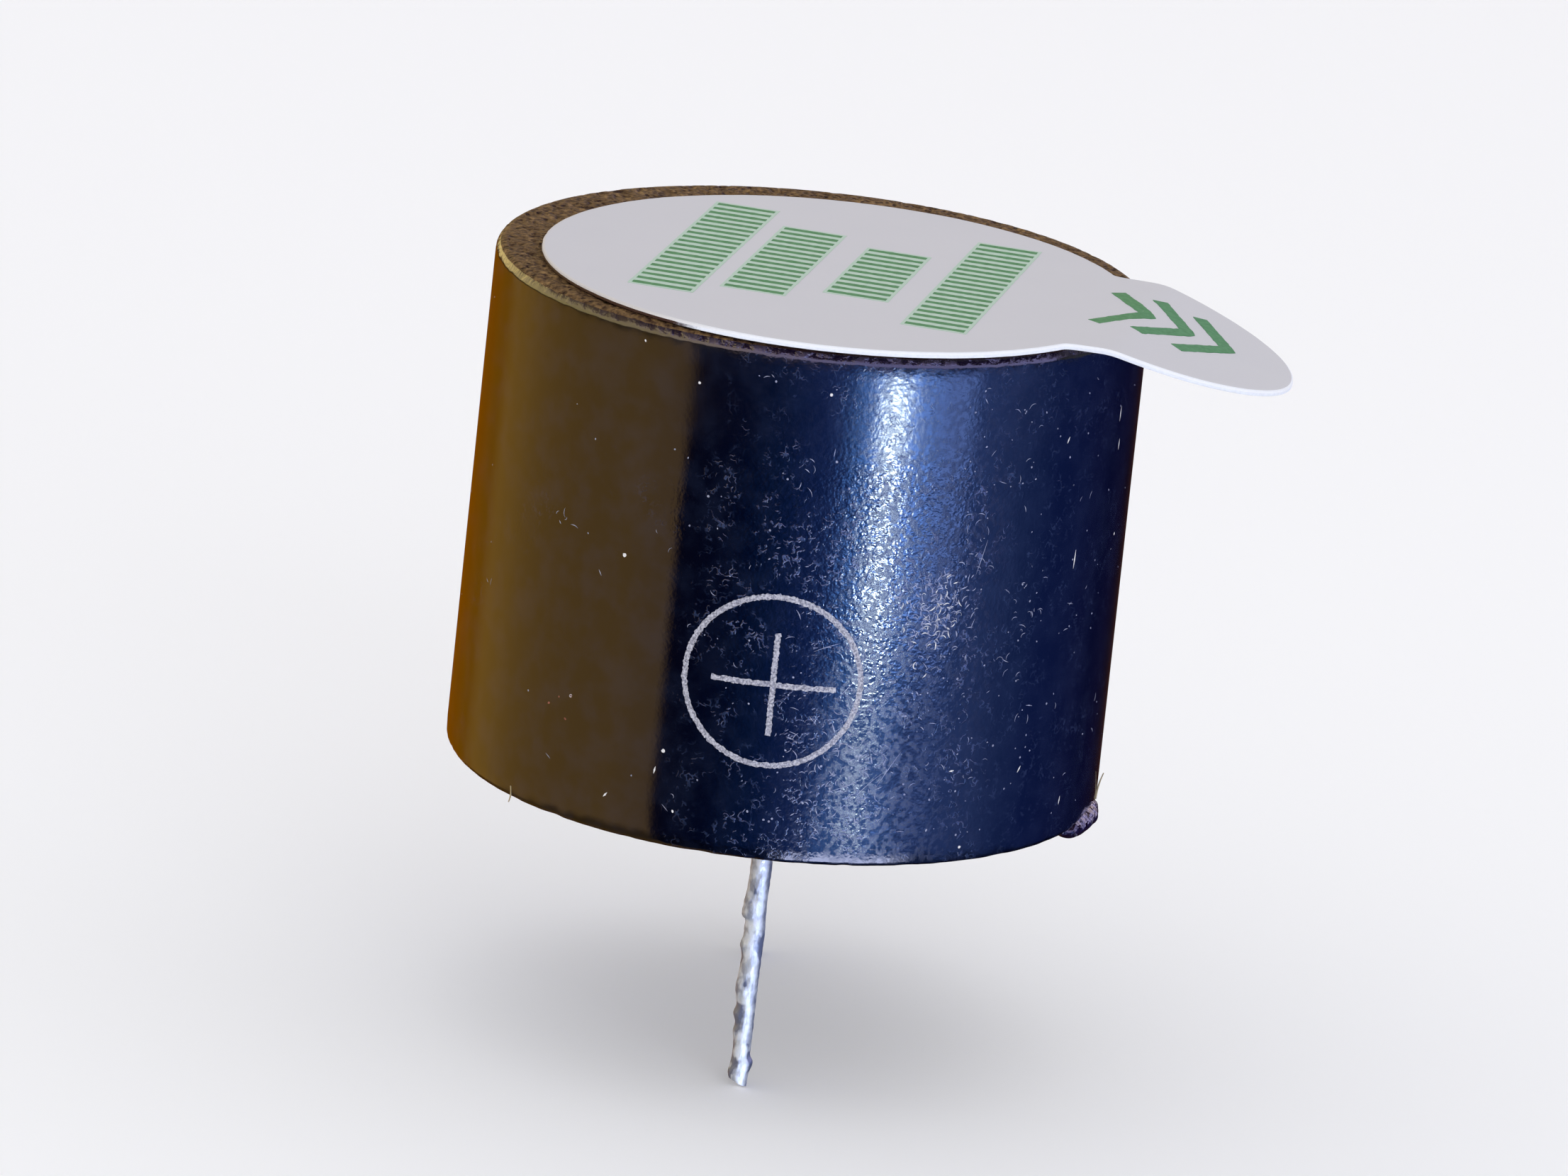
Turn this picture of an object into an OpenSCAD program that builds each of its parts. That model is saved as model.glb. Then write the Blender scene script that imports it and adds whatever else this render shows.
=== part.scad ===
// Magnetic buzzer with a built-in drive circuit.
// A moulded cup holds a resonance chamber, a steel diaphragm, a ring magnet, a coil on an
// iron pole and a one-transistor oscillator board. Resin closes the cup from below around
// two wire pins, and a wash seal with a pull tab is stuck over the sound hole.
//
// Millimetres. The origin is the centre of the seating plane, which is the housing's lower
// rim. +Z is up, -Y is the positive pin's side, and the pull tab points towards +X.

/* [Housing] */
// Outer diameter at the lower rim
body_d = 12; // [11.8:0.1:12.6]
// Height from the lower rim to the top face
body_h = 9.4; // [9.2:0.1:10.2]
// Mould draft, as the loss of radius from the rim to the top
draft = 0.06; // [0.02:0.02:0.1]
// Thickness of the side wall at the lower rim
wall = 0.7; // [0.6:0.05:0.8]
// Thickness of the top
top_t = 0.8; // [0.6:0.1:1]
// Rounding of the top edge
top_edge_r = 0.2; // [0.1:0.05:0.3]
// Rounding of the outer edge of the lower rim
rim_edge_r = 0.1; // [0.05:0.05:0.15]
// Diameter of the resonance chamber above the diaphragm
chamber_d = 9.6; // [9.2:0.1:9.8]
// Diameter of the sound hole
sound_hole_d = 2.2; // [1.6:0.1:3]

/* [Sounding parts] */
// Thickness of the diaphragm
diaphragm_t = 0.08; // [0.06:0.01:0.12]
// Diameter of the armature disc on the diaphragm
armature_d = 3.4; // [2.8:0.1:4]
// Thickness of the armature disc
armature_t = 0.35; // [0.2:0.05:0.5]
// Gap between the pole's end and the diaphragm
air_gap = 0.35; // [0.2:0.05:0.5]
// Wall of the support ring, around the magnet and around the diaphragm
ring_wall = 0.4; // [0.3:0.05:0.45]
// Thickness of the support ring's lip, which carries the diaphragm
lip_t = 0.5; // [0.4:0.05:0.6]
// How far the lip reaches in under the diaphragm
lip_w = 0.5; // [0.4:0.05:0.6]
// Free height above the diaphragm inside the support ring
rim_room = 0.2; // [0.15:0.05:0.3]

/* [Magnet, pole and yoke] */
// Height of the ring magnet
magnet_h = 2.6; // [2.4:0.1:2.8]
// Thickness of the yoke plate
yoke_t = 0.8; // [0.7:0.05:1]
// Diameter of the iron pole
pole_d = 2; // [1.8:0.1:2.2]
// Diameter of the pole's rivet tail
tail_d = 1.2; // [1:0.1:1.4]
// Depth of the countersink that the tail is riveted into
rivet_sink = 0.25; // [0.2:0.05:0.35]

/* [Coil] */
// Radial thickness of the drive winding
drive_build = 0.9; // [0.7:0.05:1]
// Radial thickness of the feedback winding around it
feedback_build = 0.8; // [0.6:0.05:0.85]
// Height of both windings
coil_h = 2.35; // [2:0.05:2.4]
// Space under the windings for their lead-outs
coil_lift = 0.2; // [0.16:0.02:0.3]
// Diameter of the enamelled wire where it leads out
wire_d = 0.1; // [0.08:0.01:0.12]
// Room for the lead-outs between the windings and the magnet
coil_room = 0.5; // [0.45:0.05:0.6]
// Diameter of the lead-out holes in the yoke plate and the board
lead_hole_d = 0.4; // [0.3:0.05:0.4]

/* [Board] */
// Thickness of the circuit board
board_t = 0.8; // [0.6:0.1:1]
// Thickness of the copper on the board's underside
copper_t = 0.05; // [0.03:0.01:0.07]
// Width of the copper tracks
track_w = 0.4; // [0.3:0.05:0.5]
// Diameter of the copper pad round a pin
pin_pad_d = 1.5; // [1.2:0.1:1.6]
// Diameter of the copper pad round a lead-out
lead_pad_d = 0.8; // [0.7:0.05:0.9]
// Leg of the solder fillet on a pin
pin_fillet = 0.45; // [0.3:0.05:0.5]
// Leg of the solder fillet on a lead-out
lead_fillet = 0.22; // [0.16:0.02:0.26]
// Leg of the solder fillet on an end cap of the resistor
chip_fillet = 0.25; // [0.15:0.05:0.3]
// Leg of the solder fillet on a transistor leg
leg_fillet = 0.12; // [0.08:0.02:0.12]
// Thickness of the solder where a round fillet runs out
solder_edge = 0.03; // [0.02:0.01:0.05]

/* [Transistor] */
// Length of the moulded body
sot_l = 2.9; // [2.8:0.05:3]
// Width of the moulded body
sot_w = 1.3; // [1.2:0.05:1.4]
// Height of the moulded body
sot_h = 0.9; // [0.8:0.05:1]
// Taper of the moulded body's sides, above and below its legs
sot_taper = 0.09; // [0.05:0.01:0.12]
// Gap between the body and the copper
sot_standoff = 0.1; // [0.06:0.02:0.12]
// Distance across the tips of the legs
sot_span = 2.4; // [2.3:0.05:2.5]
// Distance between the two legs on one side
sot_pitch = 1.9; // [1.8:0.05:2]
// Width of a leg
leg_w = 0.4; // [0.35:0.05:0.45]
// Thickness of a leg
leg_t = 0.12; // [0.1:0.01:0.15]
// Length of a leg's foot
foot_l = 0.4; // [0.3:0.05:0.4]
// Place of the transistor along Y
sot_y = 0.4; // [0.3:0.05:0.5]

/* [Resistor] */
// Length over the end caps
chip_l = 2; // [1.9:0.05:2.1]
// Width
chip_w = 1.25; // [1.15:0.05:1.3]
// Height
chip_h = 0.5; // [0.45:0.05:0.6]
// Length of an end cap
cap_l = 0.4; // [0.3:0.05:0.5]
// Thickness of an end cap's metal
cap_t = 0.05; // [0.04:0.01:0.06]
// Place of the resistor along X
chip_x = 2.5; // [2.4:0.05:2.6]
// Place of the resistor along Y
chip_y = -1.5; // [-1.6:0.05:-1.45]

/* [Pins] */
// Distance between the pins
pin_pitch = 7.6; // [7.4:0.05:7.8]
// Diameter of a pin
pin_d = 0.42; // [0.38:0.02:0.6]
// Length of a pin below the seating plane
pin_l = 5; // [3:0.5:7.5]
// Slant of a pin's cut end, in degrees
pin_cut = 14; // [4:2:30]
// How far a pin's shank is rolled down inside the resin and the board, on the radius
shank_cut = 0.02; // [0.01:0.01:0.03]
// Number of flats rolled on the shank
shank_flats = 12; // [8:1:12]
// Cover of board material over a pin's inner end
pin_cover = 0.1; // [0.05:0.05:0.2]

/* [Resin] */
// Depth of the resin's face inside the lower rim
resin_recess = 0.3; // [0.1:0.05:0.4]
// Thickness of resin below the board
resin_depth = 1.4; // [1.3:0.05:1.6]
// Radius of the resin bead that has run over the rim
bead_r = 0.55; // [0.45:0.05:0.6]
// Direction of the bead from the axis, in degrees from +X
bead_angle = -14; // [-60:2:60]
// How far the bead's centre lies inside the housing's side
bead_inset = 0.3; // [0.26:0.01:0.36]
// Height of the bead's centre above the seating plane
bead_rise = 0.14; // [0.08:0.02:0.2]

/* [Wash seal] */
// Diameter of the seal
seal_d = 10.74; // [10:0.1:11]
// Thickness of the seal
seal_t = 0.12; // [0.08:0.02:0.2]
// Place of the seal's centre along X
seal_x = 0.27; // [-0.3:0.01:0.3]
// Place of the seal's centre along Y
seal_y = -0.63; // [-0.7:0.01:0.7]
// Direction of the pull tab, in degrees from +X
tab_angle = -11.5; // [-30:0.5:30]
// Reach of the tab from the seal's centre, seen from above
tab_reach = 8.4; // [7.6:0.1:9]
// Width of the tab
tab_w = 5.56; // [4.4:0.1:6]
// Length of the tab's oval end, from its widest place to its tip
tab_end = 3.47; // [2.5:0.05:3.6]
// Droop of the tab, in degrees
droop = 15.4; // [4:0.2:24]
// Radius of the bend where the tab starts to droop
bend_r = 1.3; // [0.8:0.1:3]

/* [Fits] */
// Clearance of a part in the housing's bore, on the radius
bore_gap = 0.1; // [0.05:0.01:0.14]
// Clearance between parts that slip into each other, on the radius
slip_gap = 0.05; // [0.03:0.01:0.07]

/* [Hidden] */
$fn = 96;

// Extra length of a cutting shape past the face that it cuts
over = 0.5;

// Radii
body_r = body_d / 2;
top_r = body_r - draft;
bore_r = body_r - wall;
board_r = bore_r - bore_gap;
ring_r = bore_r - slip_gap;
diaphragm_r = ring_r - ring_wall - slip_gap;
magnet_r = ring_r - ring_wall - slip_gap;
pole_r = pole_d / 2;
drive_r = pole_r + slip_gap + drive_build;
feedback_r = drive_r + feedback_build;
magnet_hole_r = feedback_r + coil_room;
lead_r = feedback_r + coil_room / 2;
wire_r = wire_d / 2;
pin_r = pin_d / 2;
shank_r = pin_r - shank_cut;

// Heights, from the seating plane up
board_z = resin_recess + resin_depth;
copper_z = board_z - copper_t;
yoke_z = board_z + board_t;
magnet_z = yoke_z + yoke_t;
coil_z = magnet_z + coil_lift;
lead_z = magnet_z + coil_lift / 2;
lip_z = magnet_z + magnet_h;
diaphragm_z = lip_z + lip_t;
armature_z = diaphragm_z + diaphragm_t;
step_z = armature_z + rim_room;
pole_top_z = diaphragm_z - air_gap;
ceiling_z = body_h - top_t;

// Lead-outs: directions from the axis, in degrees. The windings start at the positive pin.
drive_start = 235;
drive_end = 170;
feedback_start = 215;
feedback_end = 290;
LEADS = [drive_start, drive_end, feedback_start, feedback_end];

// Places on the board
positive = [0, -pin_pitch / 2];
negative = [0, pin_pitch / 2];
sot_foot_x = (sot_span - foot_l) / 2;
base_foot = [sot_foot_x, sot_y - sot_pitch / 2];
emitter_foot = [sot_foot_x, sot_y + sot_pitch / 2];
collector_foot = [-sot_foot_x, sot_y];
chip_land = [chip_w, cap_l + chip_fillet];
chip_pad_y = (chip_l + chip_fillet - cap_l) / 2;

// Side line of the housing: slope of the draft, and centres of its two edge roundings
slope = draft / body_h;
stretch = sqrt(1 + slope * slope);
rim_c = [body_r - slope * rim_edge_r - rim_edge_r * stretch, rim_edge_r];
top_c = [top_r + slope * top_edge_r - top_edge_r * stretch, body_h - top_edge_r];

// Tab: the bend starts on the tab's own axis, where the housing's flat top ends
flat_r = top_c[0];
tab_along = seal_x * cos(tab_angle) + seal_y * sin(tab_angle);
bend_s = sqrt(pow(flat_r, 2) - pow(norm([seal_x, seal_y]), 2) + pow(tab_along, 2)) - tab_along;

function polar(angle, r) = [r * cos(angle), r * sin(angle)];
function touch(centre, r) = centre + [r, r * slope] / stretch;

// ---- Housing ----

module housing_outline() {
    polygon([
        [0, 0], [rim_c[0], 0], touch(rim_c, rim_edge_r),
        touch(top_c, top_edge_r), [top_c[0], body_h], [0, body_h]
    ]);
    translate(rim_c) circle(r = rim_edge_r);
    translate(top_c) circle(r = top_edge_r);
}

// Half section: the bore below, the step over the support ring, the chamber and the hole
module housing_section() {
    difference() {
        housing_outline();
        polygon([
            [-over, -over], [bore_r, -over], [bore_r, step_z], [chamber_d / 2, step_z],
            [chamber_d / 2, ceiling_z], [sound_hole_d / 2, ceiling_z],
            [sound_hole_d / 2, body_h + over], [-over, body_h + over]
        ]);
    }
}

module housing() {
    color("#17181c") rotate_extrude() housing_section();
}

// ---- Wash seal ----

// Side view of the film along the tab's axis: flat, bent over the edge, then straight
module seal_side() {
    translate([-seal_d, 0]) square([seal_d + bend_s, seal_t]);
    translate([bend_s, -bend_r]) {
        intersection() {
            difference() {
                circle(r = bend_r + seal_t);
                circle(r = bend_r);
            }
            bend_wedge();
        }
        rotate(-droop) translate([0, bend_r]) square([tab_reach, seal_t]);
    }
}

// Wedge that spans the bend, from straight up to the droop's angle
module bend_wedge() {
    far = 2 * (bend_r + seal_t);
    polygon([[0, 0], [0, far], [far * sin(droop), far], [far * sin(droop), far * cos(droop)]]);
}

// Seen from above: a disc with an oval tab
module seal_outline() {
    steps = 72;
    circle(d = seal_d);
    translate([tab_reach - tab_end, 0])
        polygon([for (i = [0 : steps - 1])
            [tab_end * cos(i * 360 / steps), tab_w / 2 * sin(i * 360 / steps)]]);
}

module seal_label() {
    color("#d9d6df") translate([seal_x, seal_y, 0]) rotate(tab_angle) intersection() {
        translate([0, 0, body_h]) rotate([90, 0, 0])
            linear_extrude(height = 2 * seal_d, center = true) seal_side();
        linear_extrude(height = body_h + over) seal_outline();
    }
}

// ---- Sounding parts ----

module diaphragm() {
    color("#b9bcc0") translate([0, 0, diaphragm_z]) cylinder(r = diaphragm_r, h = diaphragm_t);
}

module armature_disc() {
    color("#8f9499") translate([0, 0, armature_z]) cylinder(d = armature_d, h = armature_t);
}

// Skirt around the magnet, a lip over it, and a wall that centres the diaphragm
module support_ring() {
    inner = ring_r - ring_wall;
    color("#e8e2d2") rotate_extrude() polygon([
        [inner, magnet_z], [ring_r, magnet_z], [ring_r, step_z], [inner, step_z],
        [inner, diaphragm_z], [inner - lip_w, diaphragm_z], [inner - lip_w, lip_z],
        [inner, lip_z]
    ]);
}

module magnet_ring() {
    color("#3b3a3a") translate([0, 0, magnet_z]) difference() {
        cylinder(r = magnet_r, h = magnet_h);
        translate([0, 0, -over]) cylinder(r = magnet_hole_r, h = magnet_h + 2 * over);
    }
}

// ---- Electromagnet ----

// Half section of the riveted joint: the tail and its spread head in the countersink
module rivet_section() {
    tail = tail_d / 2;
    polygon([
        [0, yoke_z], [tail + rivet_sink, yoke_z], [tail, yoke_z + rivet_sink],
        [tail, magnet_z], [0, magnet_z]
    ]);
}

module pole_core() {
    color("#a7a9ab") rotate_extrude() {
        rivet_section();
        translate([0, magnet_z]) square([pole_r, pole_top_z - magnet_z]);
    }
}

module yoke_plate() {
    color("#9a9da1") difference() {
        translate([0, 0, yoke_z]) cylinder(r = board_r, h = yoke_t);
        rotate_extrude() {
            rivet_section();
            translate([0, yoke_z - over]) square([tail_d / 2, yoke_t + 2 * over]);
            translate([0, yoke_z - over]) square([tail_d / 2 + rivet_sink, over]);
        }
        lead_holes(yoke_z, yoke_t);
    }
}

module lead_holes(z, h) {
    for (angle = LEADS)
        translate([each polar(angle, lead_r), z - over])
            cylinder(d = lead_hole_d, h = h + 2 * over, $fn = 32);
}

// Wire from inside a winding's lower face, out over the yoke plate and down to the board
module lead_out(angle, start_r) {
    solder_end = copper_z - solder_edge - lead_fillet;
    rotate(angle) {
        translate([start_r, 0, lead_z]) cylinder(r = wire_r, h = coil_lift, $fn = 24);
        translate([start_r, 0, lead_z]) sphere(r = wire_r, $fn = 24);
        translate([start_r, 0, lead_z]) rotate([0, 90, 0])
            cylinder(r = wire_r, h = lead_r - start_r, $fn = 24);
        translate([lead_r, 0, lead_z]) sphere(r = wire_r, $fn = 24);
        translate([lead_r, 0, solder_end]) cylinder(r = wire_r, h = lead_z - solder_end, $fn = 24);
    }
}

module winding(inner_r, outer_r, start, end) {
    translate([0, 0, coil_z]) difference() {
        cylinder(r = outer_r, h = coil_h);
        translate([0, 0, -over]) cylinder(r = inner_r, h = coil_h + 2 * over);
    }
    for (angle = [start, end]) lead_out(angle, (inner_r + outer_r) / 2);
}

module drive_winding() {
    color("#b5622e") winding(pole_r + slip_gap, drive_r, drive_start, drive_end);
}

module feedback_winding() {
    color("#c98a4b") winding(drive_r, feedback_r, feedback_start, feedback_end);
}

// ---- Board ----

module circuit_board() {
    color("#c9a86a") difference() {
        translate([0, 0, board_z]) cylinder(r = board_r, h = board_t);
        for (place = [positive, negative]) translate([each place, board_z - over])
            cylinder(r = shank_r, h = over + board_t - pin_cover, $fn = 48);
        lead_holes(board_z, board_t);
    }
}

module track(a, b) {
    run = b - a;
    translate(a) rotate(atan2(run[1], run[0])) translate([0, -track_w / 2])
        square([norm(run), track_w]);
}

module leg_land(place) {
    translate(place) square([foot_l + 2 * leg_fillet, leg_w + track_w / 2], center = true);
}

module copper_layout() {
    chip_low = [chip_x, chip_y - chip_pad_y];
    chip_high = [chip_x, chip_y + chip_pad_y];
    for (place = [positive, negative]) translate(place) circle(d = pin_pad_d, $fn = 48);
    for (angle = LEADS) translate(polar(angle, lead_r)) circle(d = lead_pad_d, $fn = 48);
    for (place = [base_foot, emitter_foot, collector_foot]) leg_land(place);
    for (place = [chip_low, chip_high]) translate(place) square(chip_land, center = true);
    track(positive, polar(drive_start, lead_r));
    track(polar(drive_start, lead_r), polar(feedback_start, lead_r));
    track(polar(feedback_end, lead_r), chip_low);
    track(base_foot, chip_high);
    track(emitter_foot, negative);
    track(collector_foot, polar(drive_end, lead_r));
}

module copper_tracks() {
    color("#c77b45") translate([0, 0, copper_z]) difference() {
        linear_extrude(height = copper_t) copper_layout();
        for (place = [positive, negative]) translate([each place, -over])
            cylinder(r = shank_r, h = copper_t + 2 * over, $fn = 48);
        lead_holes(0, copper_t);
    }
}

// Board parts are drawn as if on a table and hung under the copper
module on_board(place) {
    translate([each place, copper_z]) mirror([0, 0, 1]) children();
}

// ---- Transistor ----

module transistor_body() {
    half = sot_w / 2;
    color("#202124") on_board([0, sot_y]) translate([0, sot_l / 2, sot_standoff]) rotate([90, 0, 0])
        linear_extrude(height = sot_l) polygon([
            [-half + sot_taper, 0], [half - sot_taper, 0], [half, (sot_h - leg_t) / 2],
            [half, (sot_h + leg_t) / 2], [half - sot_taper, sot_h], [-half + sot_taper, sot_h],
            [-half, (sot_h + leg_t) / 2], [-half, (sot_h - leg_t) / 2]
        ]);
}

// Gull-wing leg towards +X, centred on its own width
module leg() {
    low = sot_standoff + (sot_h - leg_t) / 2;
    knee = sot_span / 2 - foot_l;
    translate([0, leg_w / 2, 0]) rotate([90, 0, 0]) linear_extrude(height = leg_w) polygon([
        [sot_w / 2, low], [knee, low], [knee, 0], [sot_span / 2, 0], [sot_span / 2, leg_t],
        [knee + leg_t, leg_t], [knee + leg_t, low + leg_t], [sot_w / 2, low + leg_t]
    ]);
}

module each_leg() {
    for (side = [-1, 1]) translate([0, side * sot_pitch / 2, 0]) children();
    mirror([1, 0, 0]) children();
}

module transistor_legs() {
    color("#c9cbd0") on_board([0, sot_y]) each_leg() leg();
}

// ---- Resistor ----

module resistor_body() {
    color("#e9e6df") on_board([chip_x, chip_y]) translate([0, 0, chip_h / 2])
        cube([chip_w, chip_l - 2 * cap_t, chip_h - 2 * cap_t], center = true);
}

module resistor_caps() {
    color("#c9cbd0") on_board([chip_x, chip_y]) for (side = [0, 1]) mirror([0, side, 0])
        difference() {
            translate([-chip_w / 2, chip_l / 2 - cap_l, 0]) cube([chip_w, cap_l, chip_h]);
            translate([-chip_w / 2 - over, chip_l / 2 - cap_l - over, cap_t])
                cube([chip_w + 2 * over, cap_l + over - cap_t, chip_h - 2 * cap_t]);
        }
}

// ---- Solder ----

// Concave fillet round a wire that stands on the copper
module solder_fillet(r, size) {
    rotate_extrude($fn = 48) difference() {
        translate([r, 0]) square([size, size + solder_edge]);
        translate([r + size, size + solder_edge]) circle(r = size, $fn = 48);
    }
}

// Straight fillet along a flat end, rising towards -X
module solder_wedge(size, width) {
    translate([0, width / 2, 0]) rotate([90, 0, 0]) linear_extrude(height = width)
        polygon([[0, 0], [size, 0], [0, size]]);
}

module pin_solder() {
    color("#b4b8bd") for (place = [positive, negative]) on_board(place)
        solder_fillet(shank_r, pin_fillet);
}

module lead_solder() {
    color("#b4b8bd") for (angle = LEADS) on_board(polar(angle, lead_r))
        solder_fillet(wire_r, lead_fillet);
}

module chip_solder() {
    color("#b4b8bd") {
        on_board([0, sot_y]) each_leg() translate([sot_span / 2, 0, 0])
            solder_wedge(leg_fillet, leg_w);
        on_board([chip_x, chip_y]) for (side = [-1, 1]) rotate(side * 90)
            translate([chip_l / 2, 0, 0]) solder_wedge(chip_fillet, chip_w);
    }
}

// ---- Pins ----

// Shank of a pin, from the resin's face up into the board
module shank() {
    translate([0, 0, resin_recess])
        cylinder(r = shank_r, h = yoke_z - pin_cover - resin_recess, $fn = shank_flats);
}

module pin() {
    shank();
    difference() {
        translate([0, 0, -pin_l]) cylinder(r = pin_r, h = pin_l + resin_recess, $fn = 48);
        translate([-pin_r, 0, -pin_l]) rotate([0, pin_cut, 0])
            translate([-pin_d, -pin_d, -2 * pin_d]) cube([4 * pin_d, 2 * pin_d, 2 * pin_d]);
    }
}

module positive_pin() {
    color("#c6cad0") translate(positive) pin();
}

module negative_pin() {
    color("#c6cad0") translate(negative) pin();
}

// ---- Resin ----

// Bead of resin that has run over the rim, shaped by the rim under it
module resin_bead() {
    difference() {
        rotate(bead_angle) translate([body_r - bead_inset, 0, bead_rise]) sphere(r = bead_r, $fn = 64);
        rotate_extrude() housing_section();
    }
}

module potting_resin() {
    color("#1b1713") difference() {
        union() {
            rotate_extrude() polygon([
                [0, resin_recess], [bore_r, resin_recess], [bore_r, yoke_z],
                [board_r, yoke_z], [board_r, board_z], [0, board_z]
            ]);
            resin_bead();
        }
        translate([0, 0, copper_z]) linear_extrude(height = copper_t + over) copper_layout();
        pin_solder();
        lead_solder();
        chip_solder();
        transistor_body();
        transistor_legs();
        resistor_body();
        resistor_caps();
        for (place = [positive, negative]) translate([each place, -over])
            cylinder(r = shank_r, h = board_z + 2 * over, $fn = 48);
        for (angle = LEADS) on_board(polar(angle, lead_r))
            cylinder(r = wire_r, h = solder_edge + lead_fillet, $fn = 24);
    }
}

housing();
seal_label();
diaphragm();
armature_disc();
support_ring();
magnet_ring();
pole_core();
drive_winding();
feedback_winding();
yoke_plate();
circuit_board();
copper_tracks();
transistor_body();
transistor_legs();
resistor_body();
resistor_caps();
chip_solder();
lead_solder();
pin_solder();
positive_pin();
negative_pin();
potting_resin();
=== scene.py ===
"""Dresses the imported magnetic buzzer: its finish, print, marks and wear, the studio and the camera.

Metres, in the part's own frame: the origin is the centre of the lower rim, +Z is up, -Y is the
positive pin's side and the pull tab points towards +X. Sizes come from the frame where it holds
them. Others repeat the part's own named sizes, and those of the wear and the studio are set here.
"""
import math
import random

import bmesh
import bpy
from mathutils import Matrix, Vector, noise


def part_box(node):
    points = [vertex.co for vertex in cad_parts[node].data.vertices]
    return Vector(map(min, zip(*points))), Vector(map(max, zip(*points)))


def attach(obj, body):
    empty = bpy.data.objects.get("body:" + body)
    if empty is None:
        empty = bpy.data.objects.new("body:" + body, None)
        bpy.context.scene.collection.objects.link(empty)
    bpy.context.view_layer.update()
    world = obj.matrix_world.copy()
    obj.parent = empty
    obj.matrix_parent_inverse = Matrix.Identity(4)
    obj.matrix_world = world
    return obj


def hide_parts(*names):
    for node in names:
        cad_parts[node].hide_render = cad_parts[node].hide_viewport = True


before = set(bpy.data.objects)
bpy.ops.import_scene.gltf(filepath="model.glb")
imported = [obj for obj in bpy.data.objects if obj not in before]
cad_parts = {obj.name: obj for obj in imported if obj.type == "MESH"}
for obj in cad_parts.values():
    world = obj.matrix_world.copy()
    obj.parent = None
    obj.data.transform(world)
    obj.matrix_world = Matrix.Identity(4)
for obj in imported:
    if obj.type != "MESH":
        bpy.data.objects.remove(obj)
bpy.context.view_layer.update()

MM = 0.001

# ---- Sizes ----

# Housing
body_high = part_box("housing")[1]
BODY_R = body_high.x
BODY_H = body_high.z
DRAFT = 0.06 * MM
TOP_R = BODY_R - DRAFT
WALL = 0.7 * MM
BORE_R = BODY_R - WALL
TOP_T = 0.8 * MM
TOP_EDGE_R = 0.2 * MM
RIM_EDGE_R = 0.1 * MM
SOUND_HOLE_R = 1.1 * MM
CHAMBER_R = 4.8 * MM
STEP_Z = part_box("support_ring")[1].z

# Seal
SEAL_R = 5.37 * MM
SEAL_T = 0.12 * MM
SEAL_PLACE = Vector((0.27 * MM, -0.63 * MM, BODY_H))
TAB_TURN = math.radians(-11.5)
TAB_REACH = 8.4 * MM
# The tab is a little narrower on its front side
TAB_HALF = 2.78 * MM
TAB_FRONT_HALF = 2.5 * MM
TAB_END = 3.47 * MM
DROOP = math.radians(15.4)
BEND_R = 1.3 * MM

# Resin
RESIN_FACE = 0.3 * MM
# The bead's bearing from +X, its middle's distance from the axis and height, and its half sizes:
# outwards, along the rim and up
BEAD_TURN = math.radians(-13)
BEAD_AT = (BODY_R - 0.17 * MM, -0.03 * MM)
BEAD_HALF = (0.31 * MM, 1.15 * MM, 0.25 * MM)


# ---- Materials ----

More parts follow.
